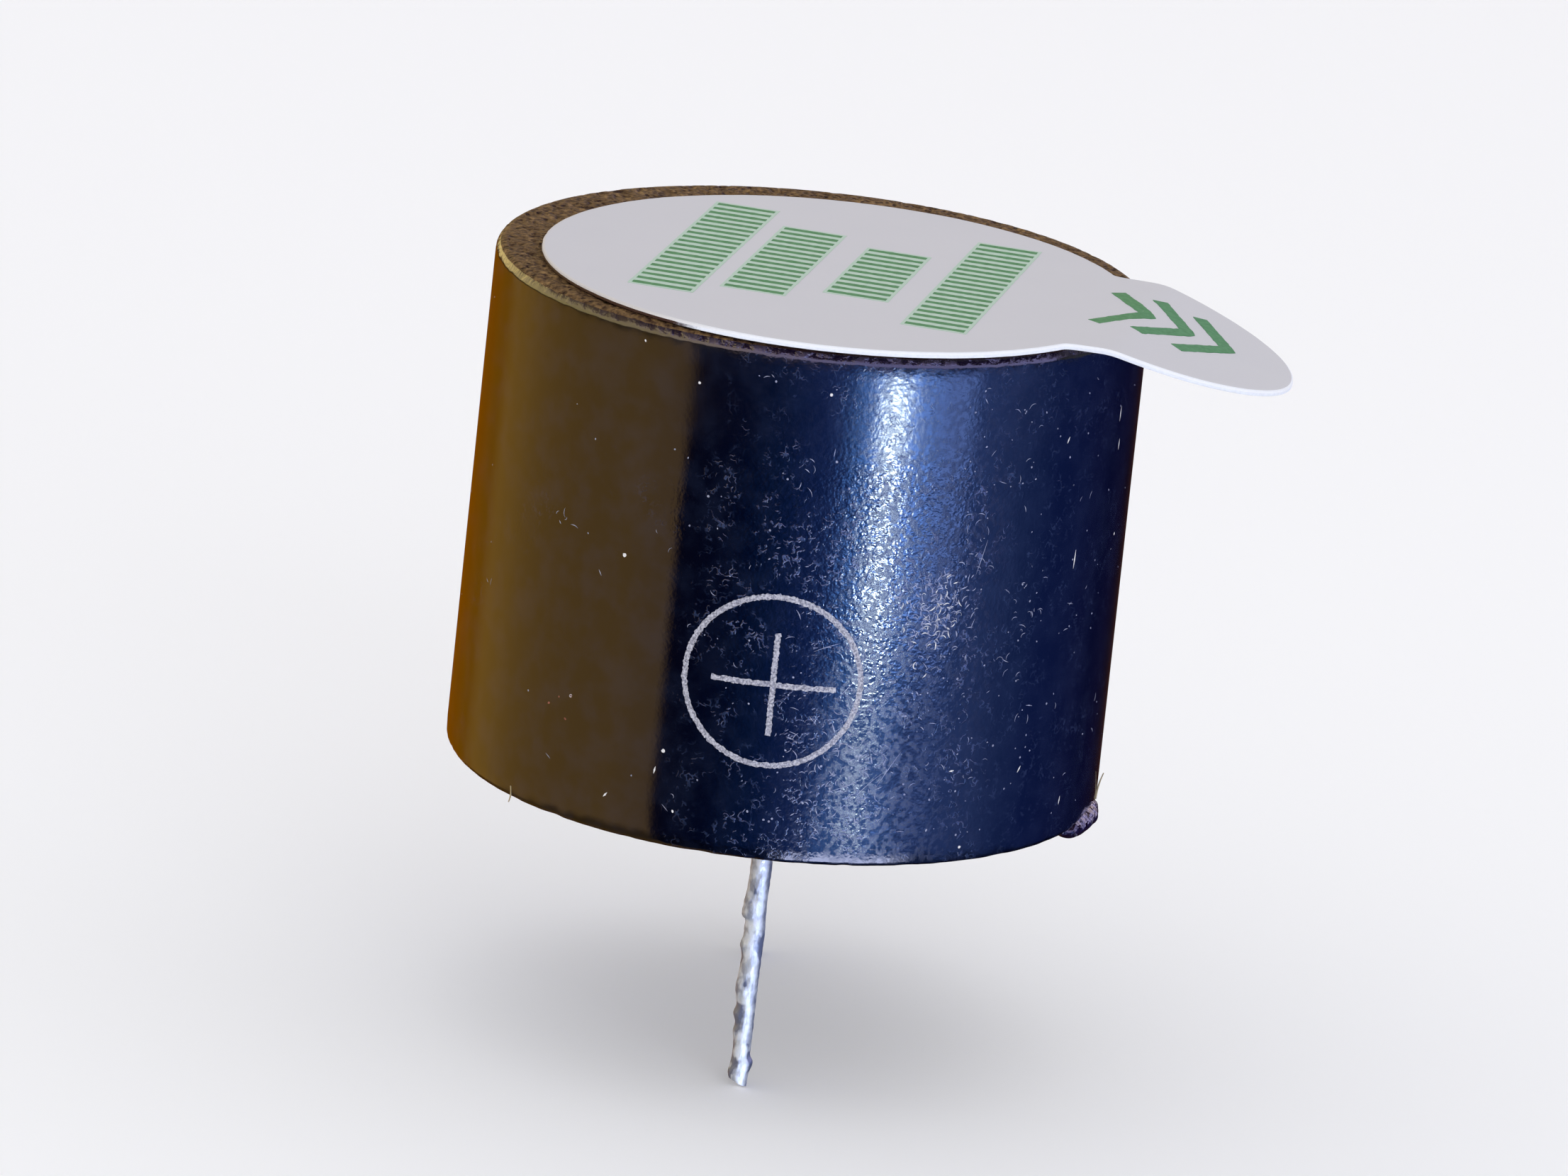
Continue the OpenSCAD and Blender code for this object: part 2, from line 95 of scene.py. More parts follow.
class Finish:
    """A Principled material with short calls for its nodes. Texture sizes are in millimetres."""

    def __init__(self, name, color, roughness, metallic=0.0, **sockets):
        self.material = bpy.data.materials.new(name)
        self.material.use_nodes = True
        self.tree = self.material.node_tree
        self.shader = self.tree.nodes["Principled BSDF"]
        self.set("Base Color", (*color, 1))
        self.set("Roughness", roughness)
        self.set("Metallic", metallic)
        for socket, value in sockets.items():
            self.set(socket.replace("_", " "), value)
        self.place = self.node("VectorMath", "Vector", operation="SCALE",
                               Vector=self.node("TexCoord", "Object"), Scale=1 / MM)

    def set(self, socket, value):
        """Sets a socket of the shader, or links an output to it."""
        self.put(self.shader.inputs[socket], value)

    def put(self, socket, value):
        if isinstance(value, bpy.types.NodeSocket):
            self.tree.links.new(value, socket)
        else:
            socket.default_value = value

    def node(self, kind, output, **settings):
        """One output of a new node. The node's own settings come first, and the others fill the
        socket of that name or, as in _0, of that number."""
        made = self.tree.nodes.new("ShaderNode" + kind)
        for name, value in settings.items():
            if hasattr(made, name):
                setattr(made, name, value)
            else:
                key = int(name[1:]) if name[0] == "_" else name.replace("_", " ")
                self.put(made.inputs[key], value)
        return made.outputs[output]

    def noise(self, size, detail=2.0, stretch=(1, 1, 1), seed=0.0):
        """Cloudy noise from 0 to 1 whose lumps are about that many millimetres across."""
        at = self.node("Mapping", "Vector", Vector=self.place, Scale=stretch,
                       Location=(seed, seed / 2, -seed))
        return self.node("TexNoise", "Fac", Vector=at, Scale=1 / size, Detail=detail)

    def cells(self, size):
        """Distance to the middle of the nearest cell, for pits."""
        return self.node("TexVoronoi", "Distance", Vector=self.place, Scale=1 / size)

    def step(self, value, low, high):
        """0 at low and 1 at high, smooth between and level beyond. high may be the smaller."""
        return self.node("MapRange", "Result", interpolation_type="SMOOTHSTEP", Value=value,
                         From_Min=low, From_Max=high)

    def spots(self, size, detail, low, high, **more):
        """Noise cut to spots, which are 1 where it is over high and 0 where it is under low."""
        return self.step(self.noise(size, detail, **more), low, high)

    def between(self, value, low, high):
        """Value from 0 to 1 taken to low to high."""
        return self.node("MapRange", "Result", Value=value, To_Min=low, To_Max=high)

    def ramp(self, factor, stops):
        """Colours at their places from 0 to 1, blended between."""
        made = self.tree.nodes.new("ShaderNodeValToRGB")
        elements = made.color_ramp.elements
        while len(elements) < len(stops):
            elements.new(0.5)
        for element, (at, color) in zip(elements, stops):
            element.position = at
            element.color = (*color, 1)
        self.put(made.inputs["Fac"], factor)
        return made.outputs["Color"]

    def color(self, factor, a, b):
        """Makes the base colour a where factor is 0 and b where it is 1."""
        self.set("Base Color", self.ramp(factor, [(0, a), (1, b)]))

    def rough(self, factor, low, high):
        self.set("Roughness", self.between(factor, low, high))

    def math(self, operation, a, b=0.0):
        return self.node("Math", "Value", operation=operation, _0=a, _1=b)

    def fold(self, operation, values):
        total = values[0]
        for value in values[1:]:
            total = self.math(operation, total, value)
        return total

    def sum(self, *values):
        return self.fold("ADD", values)

    def times(self, *values):
        return self.fold("MULTIPLY", values)

    def largest(self, *values):
        return self.fold("MAXIMUM", values)

    def along(self, axis):
        """Distance from the origin along X, Y or Z, in millimetres."""
        return self.node("SeparateXYZ", axis, Vector=self.place)

    def facing(self, turn, low, high):
        """1 where the side faces that bearing and 0 well away from it. low and high are distances
        in millimetres from the axis towards the bearing."""
        turn = math.radians(turn)
        reach = self.node("VectorMath", "Value", operation="DOT_PRODUCT", _0=self.place,
                          _1=(math.sin(turn), -math.cos(turn), 0))
        return self.step(reach, low, high)

    def bumped(self, height, depth):
        """The finished material, with a bump: a height of 1 stands for that many millimetres."""
        self.set("Normal", self.node("Bump", "Normal", Height=height, Distance=depth * MM))
        return self.material


def scuffs(made, worn):
    """Clumps of fine curling bits and grit, as far as worn lets them show."""
    clump = made.times(made.spots(0.6, 3, 0.4, 0.64, seed=3), made.spots(0.16, 1, 0.46, 0.58, seed=9))
    off = made.math("SUBTRACT", made.noise(0.14, 1.5, seed=1), 0.5)
    curls = made.step(made.math("ABSOLUTE", off), 0.045, 0.01)
    grit = made.spots(0.06, 1, 0.62, 0.72, seed=7)
    return made.times(made.largest(curls, grit), worn, clump)


def housing_side():
    """Near-black gloss. Its front is scuffed with fine curling bits and grit, its front right has
    fewer, and the rest has them only in patches. It is satin near the top. The scuffs' blue
    colour is partly painted sheen, the room's blue light that they scatter."""
    made = Finish("housing_gloss", (0.002, 0.002, 0.003), 0.07, IOR=1.5)
    height = made.along("Z")
    upper = made.step(height, 6.9, 8.0)
    lower = made.step(height, 4.2, 2.0)
    front = made.times(made.facing(13, 5.0, 5.55), made.between(upper, 1.0, 0.35),
                       made.between(lower, 1.0, 0.75))
    right = made.times(made.facing(34, 3.6, 4.8), 0.35)
    patches = made.times(made.spots(2.2, 2, 0.58, 0.74, seed=5), 0.4)
    worn = made.largest(front, right, patches)
    scuffs_and_sheen = scuffs(made, worn)
    tone = made.times(made.spots(0.5, 4, 0.35, 0.75, seed=4), 0.05)
    # The scuffs' blue base colour is partly painted sheen of the room's blue light
    made.color(made.sum(made.times(scuffs_and_sheen, made.noise(0.25, 2)), tone), (0.0005, 0.0005, 0.001),
               (0.06, 0.09, 0.2))
    dull = made.times(made.spots(0.12, 1.5, 0.46, 0.56, seed=6), worn,
                      made.between(made.facing(27, 5.5, 5.85), 0.08, 0.22))
    made.set("Roughness", made.sum(0.05, made.times(scuffs_and_sheen, 0.15), dull,
                                   made.times(upper, 0.09), made.times(lower, 0.03)))
    grain = made.times(made.noise(0.075, 1.5), made.between(worn, 0.12, 1.0),
                       made.between(lower, 1.0, 0.7))
    # The lower part leans in a little, and so mirrors what lies lower in the room
    lean = made.times(made.step(height, 5.0, -1.0), -25)
    return made.bumped(made.sum(grain, made.times(scuffs_and_sheen, 0.45), lean), 0.0065)


def housing_edge():
    """The rounded top edge: dark and glossy, with rougher stretches on the worn front right."""
    made = Finish("housing_edge", (0.014, 0.01, 0.01), 0.2)
    front = made.facing(25, 3.0, 5.0)
    rubbed = made.times(made.spots(0.2, 4, 0.42, 0.6, seed=2), made.between(front, 0.25, 1.0))
    made.color(rubbed, (0.005, 0.002, 0.012), (0.034, 0.026, 0.05))
    made.rough(rubbed, 0.13, 0.36)
    grain = made.times(made.noise(0.09, 3), made.between(front, 0.3, 1.0))
    return made.bumped(made.sum(grain, rubbed), 0.02)


def housing_top():
    """Rough and brown with dust. Its front right is painted dark as the shade under the seal's edge.
    """
    made = Finish("housing_matte", (0.1, 0.06, 0.03), 0.6, Specular_IOR_Level=0.14)
    grains = made.noise(0.1, 3)
    pits = made.step(made.cells(0.17), 0.12, 0.34)
    pale = made.spots(0.14, 2, 0.56, 0.68, stretch=(1, 0.55, 1), seed=5)
    mixed = made.sum(made.times(made.step(grains, 0.3, 0.7), 0.62, pits), made.times(pale, 0.4))
    # painted shade: dark at the front right, under the seal's overhanging edge
    outside_seal_shade = made.between(made.facing(25, 4.2, 5.2), 1.0, 0.0)
    made.color(made.times(mixed, outside_seal_shade), (0.022, 0.009, 0.008), (0.25, 0.15, 0.06))
    made.rough(grains, 0.45, 0.85)
    return made.bumped(made.sum(grains, pits), 0.045)


def mottled(name, color, roughness, size, dark, light, detail=3, **sockets):
    """Finish whose colour goes from dark to light in one cloudy noise."""
    made = Finish(name, color, roughness, **sockets)
    made.color(made.noise(size, detail), dark, light)
    return made


def seal_film():
    made = Finish("seal_film", (0.592, 0.58, 0.612), 0.7, Specular_IOR_Level=0.06)
    cloud = made.noise(1.4, 4)
    fleck = made.noise(0.07, 2)
    made.color(made.sum(made.times(cloud, 0.6), made.times(fleck, 0.4)), (0.575, 0.565, 0.6),
               (0.608, 0.595, 0.624))
    return made.bumped(made.noise(0.05, 3), 0.002)


def seal_glue_shade():
    """The sticky layer under the film, coloured dark as painted shade: the shadow line under its cut
    edge.
    """
    return mottled("seal_glue_shade", (0.03, 0.014, 0.014), 0.5, 0.2, (0.01, 0.004, 0.02),
                   (0.05, 0.028, 0.05)).material


def seal_edge():
    """The film's rounded upper edge: painted whiter as lit at the front and right."""
    made = Finish("seal_edge", (0.8, 0.82, 0.88), 0.6, Specular_IOR_Level=0.1)
    fibres = made.noise(0.06, 3, stretch=(1, 1, 2))
    # painted light: whiter on the side that faces the lamps
    painted_lit_side = made.times(made.facing(28, 2.5, 4.8), made.between(fibres, 0.7, 1.0))
    made.color(painted_lit_side, (0.6, 0.57, 0.56), (0.86, 0.88, 0.95))
    return made.bumped(fibres, 0.01)


def seal_side():
    """The film's cut side: painted white as lit at the front and right, and dark as shade elsewhere.
    """
    made = Finish("seal_side", (0.86, 0.88, 0.94), 0.6, Specular_IOR_Level=0.2)
    fibres = made.noise(0.06, 3, stretch=(1, 1, 2))
    # painted light and shade: white where lit, dark where shaded
    painted_lit_side = made.step(made.sum(made.facing(28, 3.0, 4.6), made.times(fibres, 0.3)), 0.3, 0.75)
    made.color(made.times(painted_lit_side, made.between(fibres, 0.75, 1.0)), (0.03, 0.012, 0.01),
               (0.86, 0.9, 1.0))
    return made.bumped(fibres, 0.01)


def seal_ink():
    made = Finish("seal_ink", (0.07, 0.22, 0.1), 0.6, Specular_IOR_Level=0.1)
    blot = made.noise(0.09, 3)
    made.color(blot, (0.035, 0.16, 0.065), (0.12, 0.32, 0.16))
    return made.bumped(blot, 0.002)


def seal_tint():
    made = mottled("seal_tint", (0.45, 0.58, 0.48), 0.7, 0.3, (0.42, 0.57, 0.47),
                   (0.5, 0.59, 0.52), Specular_IOR_Level=0.06)
    return made.bumped(made.noise(0.05, 3), 0.002)


def etched_mark():
    made = Finish("etched_mark", (0.3, 0.3, 0.34), 0.6)
    spatter = made.noise(0.035, 3)
    made.color(made.step(spatter, 0.3, 0.7), (0.13, 0.135, 0.17), (0.5, 0.5, 0.56))
    return made.bumped(spatter, 0.012)


def scuff_mark():
    return mottled("scuff_mark", (0.2, 0.22, 0.3), 0.5, 0.3, (0.05, 0.06, 0.12),
                   (0.42, 0.44, 0.55)).material


def dust():
    return mottled("dust", (0.7, 0.7, 0.72), 0.7, 0.05, (0.5, 0.48, 0.46), (0.85, 0.85, 0.88),
                   detail=2).material


def rust_speck():
    return mottled("rust_speck", (0.2, 0.06, 0.03), 0.7, 0.04, (0.1, 0.025, 0.015),
                   (0.3, 0.1, 0.06), detail=2).material


def fibre():
    return mottled("fibre", (0.5, 0.38, 0.22), 0.5, 0.05, (0.2, 0.15, 0.07), (0.42, 0.34, 0.18),
                   detail=2).material


def pin_metal():
    """Tinned and mottled, with painted shade greying both its sides, a darker band on its left and a
    few dull patches.
    """
    made = Finish("pin_metal", (0.66, 0.72, 0.84), 0.4, metallic=0.12)
    streak = made.noise(0.13, 4, stretch=(1, 1, 0.3))
    blotch = made.spots(0.16, 2, 0.36, 0.62, stretch=(1, 1, 0.7), seed=4)
    oxide = made.spots(0.4, 3, 0.58, 0.64, stretch=(1, 1, 0.5), seed=8)
    right = made.along("X")
    # painted shade: darker towards both sides of the wire, where less light falls
    painted_side_shade = made.sum(made.times(made.step(right, 0.08, 0.2), -0.5),
                     made.times(made.step(right, 0.02, -0.12), -0.36))
    height = made.along("Z")
    # darker on its left side between two heights
    dark_left_band = made.times(made.step(right, 0.03, -0.03), made.step(height, -3.98, -3.86),
                       made.step(height, -3.36, -3.42))
    light = made.sum(made.times(streak, 0.5), made.times(blotch, 0.34), made.times(oxide, -0.5),
                     made.times(dark_left_band, -0.42), painted_side_shade, 0.24)
    made.color(light, (0.1, 0.12, 0.18), (0.86, 0.93, 1.0))
    made.rough(streak, 0.24, 0.5)
    return made.bumped(made.sum(made.noise(0.06, 3, stretch=(1, 1, 0.5)), streak), 0.018)


def resin():
    made = Finish("resin", (0.014, 0.011, 0.012), 0.1, IOR=1.55)
    cloud = made.noise(0.9, 4)
    made.color(cloud, (0.008, 0.006, 0.008), (0.026, 0.019, 0.018))
    made.rough(made.noise(0.25, 3), 0.06, 0.22)
    return made.bumped(made.sum(cloud, made.times(made.noise(0.12, 2), 0.15)), 0.05)


def bead_resin():
    """The run of resin: dark, glossy and rippled, under a thin broken film of dust. The film's pale
    pinkish colour is partly painted sheen.
    """
    made = Finish("bead_resin", (0.008, 0.004, 0.012), 0.12, IOR=1.46)
    film = made.times(made.spots(0.14, 3, 0.58, 0.68, seed=4), made.spots(0.5, 1, 0.4, 0.6))
    # The film's pale pinkish tint is partly painted sheen of light the bead catches
    made.color(film, (0.008, 0.003, 0.012), (0.2, 0.19, 0.28))
    made.rough(film, 0.14, 0.5)
    return made.bumped(made.sum(film, made.noise(0.22, 2)), 0.1)


def speckled(name, dark, light, roughness, size, depth, metallic=0.0, stretch=(1, 1, 1)):
    """Finish with one grain, for plain metals, mouldings and sintered or fired parts."""
    made = Finish(name, light, roughness, metallic)
    grain = made.noise(size, 4, stretch)
    made.color(grain, dark, light)
    made.rough(grain, roughness * 0.8, roughness * 1.3)
    return made.bumped(grain, depth)


def wound(name, dark, light):
    """Enamelled wire laid in turns one above the other."""
    made = Finish(name, light, 0.25, metallic=0.6)
    turns = made.node("TexWave", "Fac", bands_direction="Z", Vector=made.place, Scale=3.2,
                      Distortion=0.4)
    made.color(turns, dark, light)
    return made.bumped(turns, 0.04)


# Plain finishes: dark and light colour, roughness, grain's size and depth, metal share and stretch
GRAINS = {
    "spring_steel": ((0.45, 0.46, 0.48), (0.68, 0.69, 0.71), 0.25, 0.3, 0.002, 1.0, (0.1, 1, 1)),
    "soft_iron": ((0.36, 0.37, 0.4), (0.55, 0.56, 0.58), 0.35, 0.1, 0.006, 1.0),
    "ring_plastic": ((0.7, 0.66, 0.56), (0.82, 0.78, 0.68), 0.4, 0.5, 0.006),
    "ferrite": ((0.03, 0.03, 0.032), (0.09, 0.088, 0.085), 0.6, 0.06, 0.012),
    "plated_steel": ((0.42, 0.43, 0.46), (0.62, 0.63, 0.66), 0.3, 0.2, 0.004, 1.0, (1, 0.2, 1)),
    "laminate": ((0.42, 0.28, 0.1), (0.62, 0.46, 0.2), 0.45, 0.12, 0.006, 0.0, (1, 0.2, 1)),
    "copper": ((0.5, 0.2, 0.08), (0.72, 0.36, 0.18), 0.3, 0.15, 0.004, 1.0),
    "chip_black": ((0.012, 0.012, 0.014), (0.03, 0.03, 0.033), 0.45, 0.06, 0.006),
    "tin": ((0.5, 0.51, 0.54), (0.76, 0.77, 0.8), 0.28, 0.1, 0.004, 1.0),
    "chip_ceramic": ((0.74, 0.71, 0.66), (0.85, 0.83, 0.78), 0.5, 0.05, 0.003),
    "solder": ((0.42, 0.44, 0.47), (0.68, 0.7, 0.73), 0.22, 0.15, 0.008, 1.0),
}
FINISHES = {name: speckled(name, *values) for name, values in GRAINS.items()}
FINISHES.update({
    "drive_wire": wound("drive_wire", (0.28, 0.07, 0.02), (0.66, 0.26, 0.09)),
    "feedback_wire": wound("feedback_wire", (0.34, 0.13, 0.03), (0.75, 0.38, 0.13)),
    "housing": housing_side(),
    "seal": seal_film(),
    "pin_metal": pin_metal(),
    "resin": resin(),
})


# ---- Mesh helpers ----

def piece(name, vertices, faces, materials, marked=()):
    """A closed mesh as one piece of the object. The n-th list of faces in marked takes material
    n + 1."""
    mesh = bpy.data.meshes.new(name)
    mesh.from_pydata(vertices, [], faces)
    for material in materials:
        mesh.materials.append(material)
    for number, chosen in enumerate(marked, 1):
        for index in chosen:
            mesh.polygons[index].material_index = number
    work = bmesh.new()
    work.from_mesh(mesh)
    bmesh.ops.recalc_face_normals(work, faces=work.faces)
    work.to_mesh(mesh)
    work.free()
    mesh.shade_smooth()
    mesh.set_sharp_from_angle(angle=math.radians(40))
    made = bpy.data.objects.new(name, mesh)
    bpy.context.scene.collection.objects.link(made)
    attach(made, "root")
    return made


def spread(start, end, count):
    """Evenly spread values, both ends included."""
    return [start + (end - start) * i / (count - 1) for i in range(count)]


def arc(centre, radius, start, end, count):
    """Points of an arc, with its angles in degrees."""
    turns = [math.radians(a) for a in spread(start, end, count)]
    return [(centre[0] + radius * math.cos(a), centre[1] + radius * math.sin(a)) for a in turns]


def loft(rows, segments, point, closed=False):
    """Vertices and faces of rings. point gives a ring's place at a turn from its row of values. A
    row that starts with 0 is a single point."""
    vertices, rings, faces = [], [], []
    for row in rows:
        count = segments if row[0] > 0 else 1
        rings.append(range(len(vertices), len(vertices) + count))
        vertices += [point(math.tau * i / segments, *row) for i in range(count)]
    for a, b in zip(rings, rings[1:] + rings[:1] if closed else rings[1:]):
        for i in range(segments):
            j = i + 1
            quad = [a[i % len(a)], a[j % len(a)], b[j % len(b)], b[i % len(b)]]
            faces.append(list(dict.fromkeys(quad)))
    return vertices, faces


def revolve(profile, segments, shape, closed=False):
    """Vertices and faces of (radius, height) points turned about Z. shape may move each point."""
    def point(turn, r, z):
        return shape(Vector((r * math.cos(turn), r * math.sin(turn), z)))

    return loft(profile, segments, point, closed)


def wobble(p, size, seed=0.0):
    """Smooth noise from -1 to 1 at a point, with lumps about that many metres across."""
    return noise.noise(p / size + Vector([seed] * 3))


class Batch:
    """Many small closed shapes that become one piece. Those that lie on a surface are flat: place
    takes (a, b, lift) to the object, lift is their top's and sunk their root's."""

    def __init__(self, place=None, lift=0.0, sunk=0.0):
        self.place = place
        self.lift = lift
        self.sunk = sunk
        self.vertices = []
        self.faces = []

    def add(self, vertices, faces):
        base = len(self.vertices)
        self.vertices += vertices
        self.faces += [[base + i for i in face] for face in faces]

    def ribbon(self, path, half, closed=False):
        """Strip along a 2-D path. half gives its half width at a point."""
        vertices, faces, last = [], [], len(path) - 1
        for i, p in enumerate(path):
            before = path[i - 1] if i or closed else p
            after = path[(i + 1) % len(path)] if i < last or closed else p
            along = (Vector(after) - Vector(before)).normalized()
            across = Vector((-along.y, along.x)) * half(p)
            for side, lift in ((-1, self.sunk), (-1, self.lift), (1, self.lift), (1, self.sunk)):
                q = Vector(p) + across * side
                vertices.append(self.place(q.x, q.y, lift))
        for i in range(last + int(closed)):
            a, b = 4 * i, 4 * ((i + 1) % len(path))
            faces += [[a + k, a + (k + 1) % 4, b + (k + 1) % 4, b + k] for k in range(4)]
        if not closed:
            faces += [[0, 1, 2, 3], [4 * last + 3, 4 * last + 2, 4 * last + 1, 4 * last]]
        self.add(vertices, faces)

    def patch(self, outline):
        """Patch with that 2-D outline."""
        count = len(outline)
        vertices = [self.place(x, y, lift) for lift in (self.lift, self.sunk) for x, y in outline]
        faces = [list(range(count)), list(range(2 * count - 1, count - 1, -1))]
        faces += [[i, (i + 1) % count, count + (i + 1) % count, count + i] for i in range(count)]
        self.add(vertices, faces)

    def piece(self, name, material, slot):
        return piece(name, self.vertices, self.faces, [material])


# ---- Housing ----

SLOPE = DRAFT / BODY_H
STRETCH = math.hypot(1, SLOPE)
RIM_C = (BODY_R - SLOPE * RIM_EDGE_R - RIM_EDGE_R * STRETCH, RIM_EDGE_R)
TOP_C = (TOP_R + SLOPE * TOP_EDGE_R - TOP_EDGE_R * STRETCH, BODY_H - TOP_EDGE_R)
SEGMENTS = 720
PIT_DEPTH = 0.036 * MM
EDGE_WEAR = 0.026 * MM
RIM_WEAR = 0.012 * MM
SIDE_WAVE = 0.0015 * MM


def side_radius(z):
    return BODY_R - SLOPE * z


def housing_profile():
    """Section of the cup, from the inside of the lower rim out, up, over and back inside."""
    low = arc(RIM_C, RIM_EDGE_R, -90, 0, 7)
    side = [(side_radius(z), z) for z in spread(0.3 * MM, BODY_H - 0.4 * MM, 26)]
    high = arc(TOP_C, TOP_EDGE_R, 0, 90, 12)
    rough = [(r, BODY_H) for r in spread(TOP_C[0] - 0.03 * MM, 4.6 * MM, 34)]
    covered = [(r, BODY_H) for r in spread(4.2 * MM, SOUND_HOLE_R, 6)]
    ceiling = BODY_H - TOP_T
    inside = [(SOUND_HOLE_R, ceiling), (CHAMBER_R, ceiling), (CHAMBER_R, STEP_Z), (BORE_R, STEP_Z),
              (BORE_R, STEP_Z / 2), (BORE_R, 0)]
    return low + side + high + rough + covered + inside


def worn_housing(p):
    """Pits in the top face, and small unevenness at both edges and over the side."""
    r = math.hypot(p.x, p.y)
    if r < CHAMBER_R - 0.3 * MM or (r < BORE_R + 0.01 * MM and p.z < BODY_H - TOP_EDGE_R):
        return p
    out = Vector((p.x / r, p.y / r, 0))
    down = 0.0
    inward = SIDE_WAVE * (1 + wobble(p, 2.2 * MM))
    if p.z > BODY_H - TOP_EDGE_R and r < SEAL_R + 1 * MM:
        pits = max(0.0, wobble(p, 0.13 * MM) - 0.1) + max(0.0, wobble(p, 0.3 * MM, 7.0) - 0.2)
        down = PIT_DEPTH * min(1.0, 2 * pits) * (0.3 if r > TOP_C[0] else 1.0)
    edge = max(0.0, 1 - abs(p.z - TOP_C[1] - 0.6 * TOP_EDGE_R) / TOP_EDGE_R)
    edge *= 1.0 if r > TOP_C[0] - 0.05 * MM else 0.0
    edge *= 0.35 + 0.65 * min(1.0, max(0.0, 0.6 - p.y / r + 0.4 * p.x / r))
    inward += edge * EDGE_WEAR * (0.5 + 0.5 * wobble(p, 0.2 * MM, 2.0))
    down += edge * EDGE_WEAR * (0.5 + 0.5 * wobble(p, 0.3 * MM, 4.0))
    rim = max(0.0, 1 - p.z / (3 * RIM_EDGE_R))
    inward += rim * RIM_WEAR * (1 + wobble(p, 0.25 * MM, 5.0))
    down -= rim * RIM_WEAR * max(0.0, wobble(p, 0.4 * MM, 6.0)) * 2
    return p - out * inward - Vector((0, 0, down))


def make_housing():
    profile = housing_profile()
    vertices, faces = revolve(profile, SEGMENTS, worn_housing, closed=True)
    edge = [i for i, (_, z) in enumerate(profile) if z > TOP_C[1] + 0.2 * TOP_EDGE_R]
    top = [i for i in edge if profile[i][0] < TOP_C[0] + 0.75 * TOP_EDGE_R]
    marked = [range(edge[0] * SEGMENTS, top[0] * SEGMENTS),
              range(top[0] * SEGMENTS, top[-1] * SEGMENTS)]
    made = piece("housing_shell", vertices, faces,
                 [FINISHES["housing"], housing_edge(), housing_top()], marked)
    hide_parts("housing")


# ---- Wash seal ----

# The bend starts on the tab's own axis, where the housing's flat top ends
TAB_ALONG = SEAL_PLACE.x * math.cos(TAB_TURN) + SEAL_PLACE.y * math.sin(TAB_TURN)
BEND_START = math.sqrt(TOP_C[0] ** 2 - SEAL_PLACE.xy.length_squared + TAB_ALONG ** 2) - TAB_ALONG
OVAL_X = TAB_REACH - TAB_END
JOIN = 0.3 * MM
TAB_CURL = 0.03 * MM
FILM_ROUND = 0.045 * MM
FILM_DIP = 0.004 * MM
GLUE_T = 0.014 * MM
GLUE_INSET = 0.12 * MM
CUT_WANDER = 0.008 * MM
SEAL_SEGMENTS = 600


def film_point(u, v, lift):
    """Point of the seal: u along the tab as seen from above, v across it, lift off its lower face."""
    past = u - BEND_START
    sweep = BEND_R * math.sin(DROOP)
    lean = math.asin(min(max(past, 0.0), sweep) / BEND_R)
    drop = BEND_R * (1 - math.cos(lean)) + max(0.0, past - sweep) * math.tan(DROOP)
    curl = TAB_CURL * (max(0.0, past) / (TAB_REACH - BEND_START)) ** 2
    p = Vector((u + lift * math.sin(lean), v, lift * math.cos(lean) - drop + curl))
    return SEAL_PLACE + Matrix.Rotation(TAB_TURN, 3, "Z") @ p


def seal_reach(turn):
    """Distance from the seal's centre to its outline in a direction from the tab's axis."""
    c, s = math.cos(turn), math.sin(turn)
    a = (c / TAB_END) ** 2 + (s / (TAB_HALF if s > 0 else TAB_FRONT_HALF)) ** 2
    b = -2 * OVAL_X * c / TAB_END ** 2
    inside = b * b - 4 * a * ((OVAL_X / TAB_END) ** 2 - 1)
    if c < 0 or inside < 0:
        return SEAL_R
    oval = (math.sqrt(inside) - b) / (2 * a)
    near = max(JOIN - abs(oval - SEAL_R), 0.0) / JOIN
    return max(oval, SEAL_R) + near * near * JOIN / 4


def seal_point(turn, share, inset, lift):
    """Point of the closed form in one direction, at that share of the reach less the inset. The
    outline wanders a little and the upper face dips."""
    cut = CUT_WANDER * (wobble(Vector((math.cos(turn), math.sin(turn), 0)), 0.04, 3.0) - 1)
    reach = (seal_reach(turn) - inset + cut) * share
    u, v = reach * math.cos(turn), reach * math.sin(turn)
    if share > 0 and lift > SEAL_T / 2:
        lift += FILM_DIP * (wobble(Vector((u, v, 0)), 1.5 * MM) - 1)
    return film_point(u, v, lift)


def make_seal():
    """The film from the middle of its upper face out, over its edge and back below."""
    shares = [0, 0.12, 0.3, 0.45] + spread(0.52, 1.0, 48)[:-1]
    edge = [(FILM_ROUND, SEAL_T), (0.3 * FILM_ROUND, SEAL_T - 0.3 * FILM_ROUND),
            (0, SEAL_T - FILM_ROUND), (0, GLUE_T + 0.01 * MM), (0.01 * MM, GLUE_T),
            (GLUE_INSET, GLUE_T), (GLUE_INSET, 0)]
    rows = [(share, FILM_ROUND, SEAL_T) for share in shares]
    rows += [(1.0, inset, lift) for inset, lift in edge]
    rows += [(share, GLUE_INSET, 0.0) for share in reversed(shares)]
    vertices, faces = loft(rows, SEAL_SEGMENTS, seal_point)
    # From where the edge starts, two rows are rounded edge, two are cut side and two are glue
    starts = [len(shares) * SEAL_SEGMENTS + 2 * kind * SEAL_SEGMENTS for kind in range(3)]
    marked = [range(start, start + 2 * SEAL_SEGMENTS) for start in starts]
    materials = [FINISHES["seal"], seal_edge(), seal_side(), seal_glue_shade()]
    made = piece("seal_film", vertices, faces, materials, marked)
    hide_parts("seal_label")


